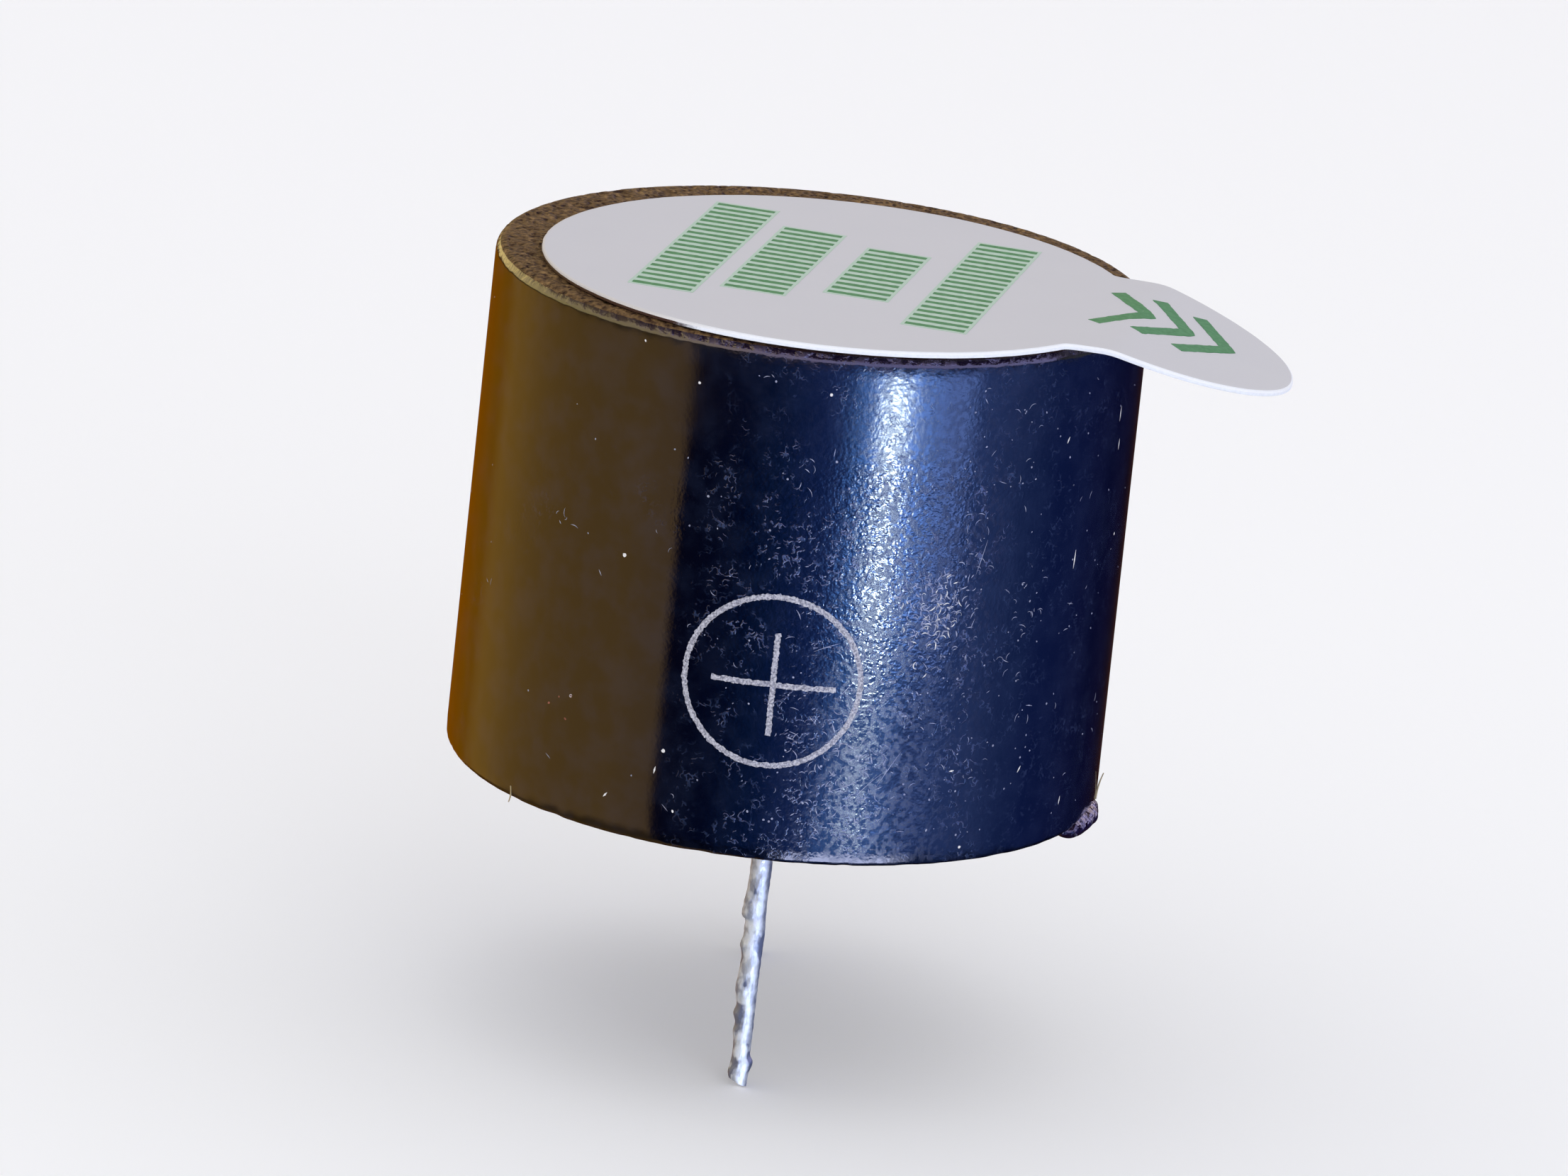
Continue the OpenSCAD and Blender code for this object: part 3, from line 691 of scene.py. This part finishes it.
# Rows of short strokes in the place of the printed words. Each row is its middle along the tab's
# axis, then where it starts and ends across it, in millimetres
ROWS = [(-2.56, -2.95, 3.52), (-1.05, -2.2, 2.48), (0.68, -1.5, 1.86), (2.4, -2.85, 3.52)]
ROW_HEIGHT = 1.08 * MM
STROKE = 0.16 * MM
STROKE_PITCH = 0.34 * MM
INK = 0.004 * MM
TINT_EDGE = 0.06 * MM


def on_film(u, v, lift):
    return film_point(u, v, SEAL_T + lift)


def ragged(half, size, share):
    """Half width of a stroke whose edges are uneven by that share."""
    return lambda p: half * (1 + share * wobble(Vector((p[0], p[1], 0)), size))


def make_print():
    """Green strokes, each row on a paler field, and the chevrons on the tab."""
    ink, tint = Batch(on_film, INK, -INK), Batch(on_film, INK / 2, -INK)
    width = ragged(STROKE / 2, 0.1 * MM, 0.3)
    for middle, start, end in ROWS:
        vs = spread(start * MM - STROKE, end * MM + STROKE, 60)
        tint.ribbon([(middle * MM, v) for v in vs],
                    ragged(ROW_HEIGHT / 2 + TINT_EDGE, 0.2 * MM, 0.015))
        count = round((end - start) * MM / STROKE_PITCH) + 1
        for v in spread(start * MM, end * MM, count):
            us = spread(middle * MM - ROW_HEIGHT / 2, middle * MM + ROW_HEIGHT / 2, 14)
            ink.ribbon([(u, v) for u in us], width)
    arrow(ink)
    tint.piece("seal_tint", seal_tint(), "seal")
    ink.piece("seal_print", seal_ink(), "seal")


def arrow(ink):
    """Three chevrons that point along the tab, in the place of the mark on it."""
    width = ragged(0.14 * MM, 0.1 * MM, 0.15)
    half, rake = 1.15 * MM, 0.75 * MM
    for tip in (5.6, 6.35, 7.1):
        path = [(tip * MM - abs(t) * rake, 0.44 * MM + t * half) for t in spread(-1, 1, 33)]
        ink.ribbon(path, width)


# ---- Marks and wear on the side ----

# The plus mark: its middle along the girth from the -Y line, its height, radius and line
MARK_X = -0.146 * MM
MARK_Z = 3.33 * MM
MARK_R = 1.58 * MM
MARK_LINE = 0.1 * MM
# How far every mark stands out of the side, and how deep its root is
MARK_LIFT = 0.002 * MM
MARK_SUNK = -0.03 * MM
# Looser patches of scratches: middle along the girth and its height, how far they spread along and
# up, all in millimetres, and how many
PATCHES = [(2.5, 5.3, 0.45, 0.6, 90), (1.3, 1.7, 0.5, 0.6, 80), (4.7, 4.6, 0.25, 0.7, 22),
           (-4.6, 5.45, 0.15, 0.06, 5)]
# Single specks: bearing in degrees, height and radius in millimetres
DUST = [(-29.8, 5.12, 0.045), (-30.1, 9.04, 0.03), (-19.2, 8.51, 0.03), (3.5, 8.63, 0.035),
        (-16.0, 0.68, 0.03), (35.6, 0.3, 0.035), (73.0, 5.5, 0.03), (-18.8, 1.75, 0.04),
        (-37.9, 2.29, 0.035)]
RUST = [(-37.9, 2.29, 0.04), (-42.7, 2.02, 0.035), (-38.6, 1.84, 0.03), (-40.5, 2.2, 0.02)]
# Single nicks: bearing in degrees, height and length in millimetres, and tilt in radians
NICKS = [(68.9, 7.7, 0.28, 1.5), (69.8, 7.15, 0.2, 1.5), (50.9, 7.62, 0.13, 1.1),
         (56.8, 5.2, 0.35, 1.5), (-29.1, 0.65, 0.12, 0.9), (60.6, 0.68, 0.16, 1.4),
         (31.8, 1.75, 0.1, 0.1), (47.1, 1.55, 0.14, 1.0), (-20.1, 1.3, 0.14, 1.4)]
NICK_WIDTH = 0.035 * MM


def on_side(along, z, lift):
    """Point of the side: along its girth from the -Y line, at a height, lifted off the surface."""
    r = side_radius(z) - 2 * SIDE_WAVE + lift
    turn = along / BODY_R
    return Vector((r * math.sin(turn), -r * math.cos(turn), z))


def hand_cut(points):
    """The points of a path, each shifted a little, as a scribed line wanders."""
    def shift(x, z, seed, slow_seed):
        at = Vector((x, z, 0))
        return 0.013 * MM * wobble(at, 0.055 * MM, seed) + 0.01 * MM * wobble(at, 0.4 * MM, slow_seed)

    return [(x + shift(x, z, 1.0, 2.0), z + shift(x, z, 9.0, 8.0)) for x, z in points]


def make_mark():
    """The scribed plus in a circle, over the positive pin."""
    mark = Batch(on_side, MARK_LIFT, MARK_SUNK)
    width = ragged(MARK_LINE / 2, 0.04 * MM, 0.4)
    ring = [(MARK_X + MARK_R * math.cos(a), MARK_Z + 0.98 * MARK_R * math.sin(a))
            for a in spread(0, math.tau, 481)[:-1]]
    across = [(x * MM, 3.27 * MM) for x in spread(-1.23, 1.01, 112)]
    upright = [(-0.12 * MM, z * MM) for z in spread(2.33, 4.22, 95)]
    mark.ribbon(hand_cut(ring), width, closed=True)
    mark.ribbon(hand_cut(across), width)
    mark.ribbon(hand_cut(upright), width)
    mark.piece("polarity_mark", etched_mark(), "housing")


def speck(batch, dice, along, z, size):
    """Small irregular patch."""
    stretch, tilt = dice.uniform(0.5, 1.0), dice.uniform(0, math.pi)
    outline = []
    for i in range(7):
        a = math.tau * i / 7
        x, y = size * math.cos(a) * dice.uniform(0.7, 1.1), size * stretch * math.sin(a)
        outline.append((along + x * math.cos(tilt) - y * math.sin(tilt),
                        z + x * math.sin(tilt) + y * math.cos(tilt)))
    batch.patch(outline)


def scratch(batch, dice, along, z, length, width, tilt, bend):
    """Fine line that fades to a point at each end."""
    count = 9
    path, x, y, turn = [], along, z, tilt
    for _ in range(count):
        path.append((x, y))
        x += math.cos(turn) * length / (count - 1)
        y += math.sin(turn) * length / (count - 1)
        turn += bend * dice.uniform(0.2, 1.0)
    start, end = Vector(path[0]), Vector(path[-1])
    middle, reach = (start + end) / 2, max((end - start).length / 2, width)

    def taper(p):
        return width / 2 * max(0.15, 1 - (Vector(p) - middle).length / reach * 0.85)

    batch.ribbon(path, taper)


def short_scratch(batch, dice, x, z, lengths, widths, bend):
    """Scratch at any tilt, with its length and width drawn from ranges in millimetres."""
    scratch(batch, dice, x, z, dice.uniform(*lengths) * MM, dice.uniform(*widths) * MM,
            dice.uniform(0, math.pi), dice.uniform(-bend, bend))


def anywhere(dice):
    """A spot on the side, four times out of five on its worn front right."""
    x = dice.uniform(0, math.tau * BODY_R)
    if dice.random() < 0.82:
        x = math.radians(dice.gauss(24, 24)) * BODY_R
    return x, dice.uniform(0.5 * MM, BODY_H - 0.5 * MM)


def scatter_all_round(faint, dice):
    """Grit, short scratches, and a few long fine ones at the front."""
    for _ in range(300):
        x, z = anywhere(dice)
        speck(faint, dice, x, z, dice.uniform(0.012, 0.026) * MM)
    for _ in range(120):
        x, z = anywhere(dice)
        short_scratch(faint, dice, x, z, (0.06, 0.2), (0.012, 0.02), 0.4)
    for _ in range(10):
        scratch(faint, dice, dice.gauss(1.6, 1.0) * MM, dice.uniform(0.8, 7.0) * MM,
                dice.uniform(0.4, 0.9) * MM, dice.uniform(0.01, 0.016) * MM, dice.gauss(0.8, 0.4),
                dice.uniform(-0.05, 0.05))


def scatter_patches(faint, bright, dice):
    """The worst of it, right of the plus, and then the looser patches."""
    for _ in range(200):
        short_scratch(bright if dice.random() < 0.3 else faint, dice, dice.gauss(2.75, 0.32) * MM,
                      dice.gauss(4.6, 0.4) * MM, (0.06, 0.17), (0.018, 0.034), 0.7)
    for middle, height, spread_x, spread_z, count in PATCHES:
        for _ in range(count):
            z = max(0.5, dice.gauss(height, spread_z))
            short_scratch(faint, dice, dice.gauss(middle, spread_x) * MM, z * MM, (0.07, 0.2),
                          (0.014, 0.026), 0.5)


def make_scuffs():
    dice = random.Random(12)
    faint, bright, rust = (Batch(on_side, MARK_LIFT, MARK_SUNK) for _ in range(3))
    scatter_all_round(faint, dice)
    scatter_patches(faint, bright, dice)
    for turn, z, size in DUST:
        speck(bright, dice, math.radians(turn) * BODY_R, z * MM, size * MM)
    for turn, z, length, tilt in NICKS:
        scratch(bright, dice, math.radians(turn) * BODY_R, z * MM, length * MM, NICK_WIDTH, tilt, 0.0)
    for turn, z, size in RUST:
        speck(rust, dice, math.radians(turn) * BODY_R, z * MM, size * MM)
    faint.piece("fine_scuffs", scuff_mark(), "housing")
    bright.piece("dust_specks", dust(), "housing")
    rust.piece("rusty_specks", rust_speck(), "housing")


# Stray fibres: root, and the way to the tip, in millimetres
FIBRES = [((5.97, -0.5, 0.1), (0.1, 0.02, 0.5)), ((-4.6, -3.83, 0.22), (-0.02, -0.03, -0.3))]
FIBRE_R = 0.02 * MM
FIBRE_STEPS = 8
FIBRE_SIDES = 6


def add_fibre(hair, root, way):
    """One bent fibre that thins to half its width at the tip."""
    side = way.cross(Vector((0, 1, 0))).normalized()
    other = way.cross(side).normalized()
    vertices, faces = [], []
    for t in spread(0, 1, FIBRE_STEPS + 1):
        centre = root + way * t + side * FIBRE_R * math.sin(3 * t)
        for i in range(FIBRE_SIDES):
            turn = math.tau * i / FIBRE_SIDES
            out = side * math.cos(turn) + other * math.sin(turn)
            vertices.append(centre + out * FIBRE_R * (1 - 0.5 * t))
    for low in range(0, FIBRE_STEPS * FIBRE_SIDES, FIBRE_SIDES):
        for i in range(FIBRE_SIDES):
            j = (i + 1) % FIBRE_SIDES
            faces.append([low + i, low + j, low + FIBRE_SIDES + j, low + FIBRE_SIDES + i])
    faces += [list(range(FIBRE_SIDES))[::-1], list(range(len(vertices)))[-FIBRE_SIDES:]]
    hair.add(vertices, faces)


def make_fibres():
    """One stands by the resin bead and one hangs at the lower rim."""
    hair = Batch()
    for root, way in FIBRES:
        add_fibre(hair, Vector(root) * MM, Vector(way) * MM)
    hair.piece("stray_fibres", fibre(), "resin")


# ---- Pins ----

# Lumps of tin: height, bearing from -Y towards +X in degrees, bulge, and its length above and below
LUMPS = [(-1.74, -85, 0.075, 0.45, 0.04), (-2.3, -95, 0.05, 0.12, 0.1), (-3.14, -85, 0.055, 0.35, 0.2),
         (-3.6, -90, 0.05, 0.1, 0.12), (-3.95, -85, 0.035, 0.08, 0.1), (-4.52, 88, 0.065, 0.08, 0.16),
         (-4.82, -85, 0.05, 0.25, 0.3), (-0.8, 95, 0.02, 0.2, 0.4), (-2.1, 80, 0.02, 0.3, 0.3),
         (-1.9, 10, 0.02, 0.12, 0.16), (-2.6, 30, 0.018, 0.2, 0.2), (-4.1, 0, 0.02, 0.1, 0.15)]
TIN_ROUGH = 0.009 * MM
PIN_THIN = 0.025 * MM
TIP_THIN = 0.03 * MM
PIN_BOW = Vector((0.01, 0, 0)) * MM
SHANK_CUT = 0.02 * MM
TIP_SLANT = math.tan(math.radians(20))
TIP_LENGTH = 0.4 * MM


def tin_lumps(z, facing):
    """How far the lumps stand out at a height and, in radians, a bearing."""
    total = 0.0
    for height, bearing, bulge, above, below in LUMPS:
        away = z / MM - height
        away /= above if away > 0 else below
        toward = max(0.0, math.cos(facing - math.radians(bearing)))
        total += bulge * MM * math.exp(-away * away) * toward ** 2
    return total


def tinned(p, axis, radius, tip, turn):
    """A point of the bare wire with its tin, its bow and the slant of its tip, which is lowest on
    the right. What lies in the resin stays bare."""
    near = max(0.0, 1 - (p.z - tip) / TIP_LENGTH)
    place = axis + p + Vector((0, 0, near * (radius - p.x) * TIP_SLANT))
    if p.z > RESIN_FACE:
        return place
    down = (RESIN_FACE - p.z) / (RESIN_FACE - tip)
    place += PIN_BOW * min(1.0, 8 * down) * (1 + 0.7 * down)
    grow = TIN_ROUGH * wobble(p + axis, 0.1 * MM)
    grow += tin_lumps(p.z, math.atan2(p.x, -p.y) + turn)
    grow -= PIN_THIN * min(1.0, 8 * down) + TIP_THIN * down ** 2
    return place + Vector((p.x, p.y, 0)) * grow / radius


def make_pin(name, node, turn):
    """Tinned wire, cut off at a slant. turn sets where its lumps are."""
    low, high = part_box(node)
    axis = Vector(((low.x + high.x) / 2, (low.y + high.y) / 2, 0))
    radius = (high.x - low.x) / 2
    shank = radius - SHANK_CUT
    profile = [(radius * k / 6, low.z) for k in range(5)]
    profile += [(radius - 0.045 * MM, low.z), (radius - 0.012 * MM, low.z + 0.013 * MM)]
    profile += [(radius, z) for z in spread(low.z, RESIN_FACE, 150)[2:]]
    profile += [(shank, RESIN_FACE + 0.001 * MM), (shank, high.z), (0, high.z)]
    vertices, faces = revolve(profile, 64, lambda p: tinned(p, axis, radius, low.z, turn))
    made = piece(name, vertices, faces, [FINISHES["pin_metal"]])
    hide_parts(node)


# ---- Resin ----

CREEP = 0.32 * MM
CLIMB = 0.16 * MM
SHRINK = 0.012 * MM


def make_resin():
    """The resin fill. Its cast face is gently uneven and creeps down the housing and both pins."""
    pin_low, pin_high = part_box("negative_pin")
    pin_r = (pin_high.x - pin_low.x) / 2
    pins = [Vector((0, side * (pin_low.y + pin_high.y) / 2)) for side in (1, -1)]

    def cast(p):
        if p.z > RESIN_FACE:
            return p
        flat = Vector((p.x, p.y))
        down = SHRINK * (1 + wobble(p, 1.8 * MM))
        for gap in [BORE_R - flat.length] + [(flat - pin).length - pin_r for pin in pins]:
            down += CLIMB * max(0.0, 1 - max(gap, 0.0) / CREEP) ** 2.5
        return p - Vector((0, 0, down))

    board_low, board_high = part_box("circuit_board")
    yoke_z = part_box("yoke_plate")[0].z
    wide = BORE_R - 0.002 * MM
    profile = [(0, RESIN_FACE)] + [(r, RESIN_FACE) for r in spread(0.06 * MM, wide, 70)]
    profile += [(wide, yoke_z), (board_high.x, yoke_z), (board_high.x, board_low.z), (0, board_low.z)]
    vertices, faces = revolve(profile, 240, cast)
    made = piece("resin_fill", vertices, faces, [FINISHES["resin"]])
    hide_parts("potting_resin")


def make_bead():
    """Resin that has run over the rim and clings along its corner."""
    def shape(p):
        out, along, up = (p[i] * BEAD_HALF[i] for i in range(3))
        swell = 1 + 0.14 * wobble(Vector((out, along, up)), 0.3 * MM, 4.0)
        turn = BEAD_TURN + along / BODY_R
        r = BEAD_AT[0] + out * swell
        return Vector((r * math.cos(turn), r * math.sin(turn), BEAD_AT[1] + up * swell))

    profile = [(math.sin(a), -math.cos(a)) for a in spread(0, math.pi, 41)]
    profile[0], profile[-1] = (0, -1.0), (0, 1.0)
    vertices, faces = revolve(profile, 160, shape)
    piece("resin_bead", vertices, faces, [bead_resin()])


# ---- Studio ----

def make_floor(z):
    bpy.ops.mesh.primitive_circle_add(vertices=128, radius=1.0, fill_type="NGON", location=(0, 0, z))
    floor = bpy.context.object
    floor.name = "floor"
    floor.data.materials.append(Finish("floor", (0.97, 0.97, 0.975), 0.9).material)
    floor.visible_glossy = False


# What the gloss reflects below the horizon: bearing in degrees from -Y towards +X, and colour
LOW_ROOM = [(-180, (0.15, 0.04, 0.0)), (-156, (0.4, 0.13, 0.0)), (-140, (0.62, 0.25, 0.004)),
            (-130, (0.97, 0.5, 0.08)), (-118, (1.15, 0.62, 0.12)), (-60, (1.25, 0.74, 0.26)),
            (-43, (1.08, 0.68, 0.36)), (-40, (0.02, 0.025, 0.13)), (-20, (0.005, 0.04, 0.26)),
            (-8, (0.02, 0.12, 0.6)), (6, (0.08, 0.24, 1.2)), (16, (0.2, 0.48, 2.0)),
            (66, (0.3, 0.6, 2.1)), (76, (0.24, 0.46, 1.6)), (88, (0.11, 0.24, 1.0)),
            (100, (0.045, 0.11, 0.63)), (124, (0.03, 0.048, 0.27)), (136, (0.012, 0.018, 0.12)),
            (160, (0.015, 0.008, 0.02)), (180, (0.06, 0.02, 0.006))]
# From the horizon to a third of the way up
MID_ROOM = [(-180, (1.0, 0.7, 0.3)), (-150, (2.6, 1.95, 0.7)), (-100, (3.3, 2.6, 1.1)),
            (-60, (3.6, 2.8, 1.6)), (-36, (3.6, 2.8, 2.4)), (-16, (2.9, 2.4, 3.6)),
            (20, (2.2, 2.1, 4.4)), (120, (2.2, 2.1, 4.2)), (180, (1.4, 1.0, 0.5))]
# And above that
HIGH_ROOM = [(-180, (0.6, 0.4, 0.2)), (-150, (1.0, 0.7, 0.28)), (-70, (1.0, 0.7, 0.3)),
             (-30, (0.3, 0.18, 0.24)), (30, (0.2, 0.14, 0.26)), (110, (0.2, 0.16, 0.3)),
             (180, (0.6, 0.4, 0.2))]
# The strip of light that the gloss mirrors: core, haze and glow. Each has its colour, its bearing,
# half width and softness in degrees, its depth below the strip's top, and its fades: between which
# heights and strengths. A height in the room is that of a line of sight of length 1
STRIP_BEARING = 30.0
STRIP_TOP = -0.2
STRIP = [((110.0, 122.0, 106.0), STRIP_BEARING, 1.5, 5.0, 0.12,
          [(-0.284, -0.266, 0.03, 1.0), (-0.257, -0.243, 1.0, 0.0)]),
         ((0.9, 2.3, 6.0), STRIP_BEARING, 6.0, 13.0, 0.24, [(-0.3, -0.248, 0.4, 1.7)]),
         ((1.6, 2.6, 6.4), STRIP_BEARING + 11.5, 15.0, 5.0, 0.14, [(-0.3, -0.274, 0.2, 1.0)])]
# A lower light that only the resin and the lower rim mirror
FOOT_COLOR = (9.0, 10.0, 15.0)


class World(Finish):
    """Node calls for the world. Its bearing is in degrees from -Y towards +X."""

    def __init__(self):
        self.world = bpy.data.worlds.new("studio")
        self.world.use_nodes = True
        self.tree = self.world.node_tree
        self.tree.nodes.clear()
        sight = self.node("TexCoord", "Generated")
        x, y, self.height = (self.node("SeparateXYZ", axis, Vector=sight) for axis in "XYZ")
        self.bearing = self.times(self.math("ARCTAN2", x, self.times(y, -1.0)), 180 / math.pi)

    def fade(self, start, end, before, after):
        """Goes smoothly from before to after between two heights."""
        return self.between(self.step(self.height, start, end), before, after)

    def ring(self, stops):
        """Colours round the horizon. A ramp holds up to 1, so the strongest is taken out first."""
        peak = max(max(color) for _, color in stops)
        around = self.node("MapRange", "Result", Value=self.bearing, From_Min=-180.0, From_Max=180.0)
        shares = [((angle + 180) / 360, [c / peak for c in color]) for angle, color in stops]
        return self.scaled(self.ramp(around, shares), peak)

    def scaled(self, color, strength):
        return self.node("VectorMath", "Vector", operation="SCALE", Vector=color, Scale=strength)

    def tinted(self, color, strength):
        plain = self.node("CombineXYZ", "Vector", X=color[0], Y=color[1], Z=color[2])
        return self.scaled(plain, strength)

    def window(self, value, middle, half, soft):
        """1 near the middle, 0 beyond half + soft on both sides."""
        away = self.math("ABSOLUTE", self.math("SUBTRACT", value, middle))
        return self.node("MapRange", "Result", interpolation_type="SMOOTHSTEP", Value=away,
                         From_Min=half, From_Max=half + soft, To_Min=1.0, To_Max=0.0)

    def add(self, a, b):
        return self.node("VectorMath", "Vector", operation="ADD", _0=a, _1=b)

    def mixed(self, a, b, share):
        """Colour a where share is 0 and b where it is 1."""
        return self.add(self.scaled(a, self.math("SUBTRACT", 1.0, share)), self.scaled(b, share))


def low_room(room):
    """What the gloss mirrors below the horizon: the room with the strip in it."""
    seen = room.ring(LOW_ROOM)
    for color, bearing, half, soft, depth, fades in STRIP:
        shown = room.times(room.window(room.bearing, bearing, half, soft),
                           *(room.fade(*fade) for fade in fades),
                           room.window(room.height, STRIP_TOP - depth / 2, depth / 2, 0.04))
        seen = room.add(seen, room.tinted(color, shown))
    seen = room.scaled(seen, room.fade(-0.5, -0.4, 0.35, 1.0))
    foot = room.times(room.window(room.bearing, STRIP_BEARING, 14.0, 14.0),
                      room.window(room.height, -0.62, 0.12, 0.08))
    seen = room.add(seen, room.tinted(FOOT_COLOR, foot))
    # A dark line lies along the horizon
    return room.scaled(seen, room.fade(-0.15, -0.1, 1.0, 0.15))


def upper_room(room):
    """What the gloss mirrors above the horizon. It darkens towards the top."""
    high = room.scaled(room.ring(HIGH_ROOM), room.fade(0.6, 0.95, 1.0, 0.12))
    return room.mixed(room.ring(MID_ROOM), high, room.step(room.height, 0.42, 0.58))


def make_world():
    """Soft white light from all round, and for the gloss a room: warm at the left and behind, dark
    blue at the right, with a bright strip in it."""
    room = World()
    seen = room.mixed(low_room(room), upper_room(room), room.step(room.height, -0.06, 0.0))
    gloss = room.node("Background", "Background", Color=seen)
    soft = room.node("Background", "Background", Color=(0.97, 0.975, 1.0, 1), Strength=0.9)
    both = room.node("MixShader", "Shader", _0=room.node("LightPath", "Is Glossy Ray"), _1=soft,
                     _2=gloss)
    output = room.tree.nodes.new("ShaderNodeOutputWorld")
    room.put(output.inputs["Surface"], both)
    room.world.cycles.sampling_method = "NONE"
    bpy.context.scene.world = room.world


def make_light(name, place, size, power, color):
    """Square lamp that faces the housing's middle and isn't mirrored in it."""
    light = bpy.data.lights.new(name, "AREA")
    light.size = size
    light.energy = power
    light.color = color
    lamp = bpy.data.objects.new(name, light)
    middle = Vector((0, 0, BODY_H / 2))
    lamp.location = Vector(place)
    lamp.rotation_euler = (middle - lamp.location).to_track_quat("-Z", "Y").to_euler()
    lamp.visible_glossy = False
    bpy.context.scene.collection.objects.link(lamp)


def make_camera():
    """Long lens from the front, a little above, with the horizon tipped."""
    pitch, roll = math.radians(16.24), math.radians(6.09)
    aim = Vector((-0.106 * MM, 0, 3.32 * MM))
    distance = 163.3 * MM
    back = Vector((0, -math.cos(pitch), math.sin(pitch)))
    data = bpy.data.cameras.new("camera")
    data.lens = 205.3
    data.sensor_width = 36.0
    data.clip_start = 0.01
    data.clip_end = 10.0
    camera = bpy.data.objects.new("camera", data)
    camera.matrix_world = (Matrix.Translation(aim + back * distance)
                           @ Matrix.Rotation(math.pi / 2 - pitch, 4, "X")
                           @ Matrix.Rotation(roll, 4, "Z"))
    bpy.context.scene.collection.objects.link(camera)
    bpy.context.scene.camera = camera


# ---- Make everything ----

make_camera()

for cad_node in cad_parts.values():
    for material_slot in cad_node.material_slots:
        material_slot.material = FINISHES[material_slot.material.name.split(".")[0]]

make_housing()
make_seal()
make_print()
make_mark()
make_scuffs()
make_fibres()
make_pin("positive_lead", "positive_pin", 0.0)
make_pin("negative_lead", "negative_pin", 2.1)
make_resin()
make_bead()

make_floor(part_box("positive_pin")[0].z)
make_world()
make_light("key", (0.1, -0.3, 0.12), 0.2, 0.28, (0.86, 0.93, 1.0))
make_light("left_fill", (-0.3, -0.05, 0.02), 0.2, 0.1, (1.0, 0.85, 0.6))
bpy.context.scene.view_settings.view_transform = "Standard"
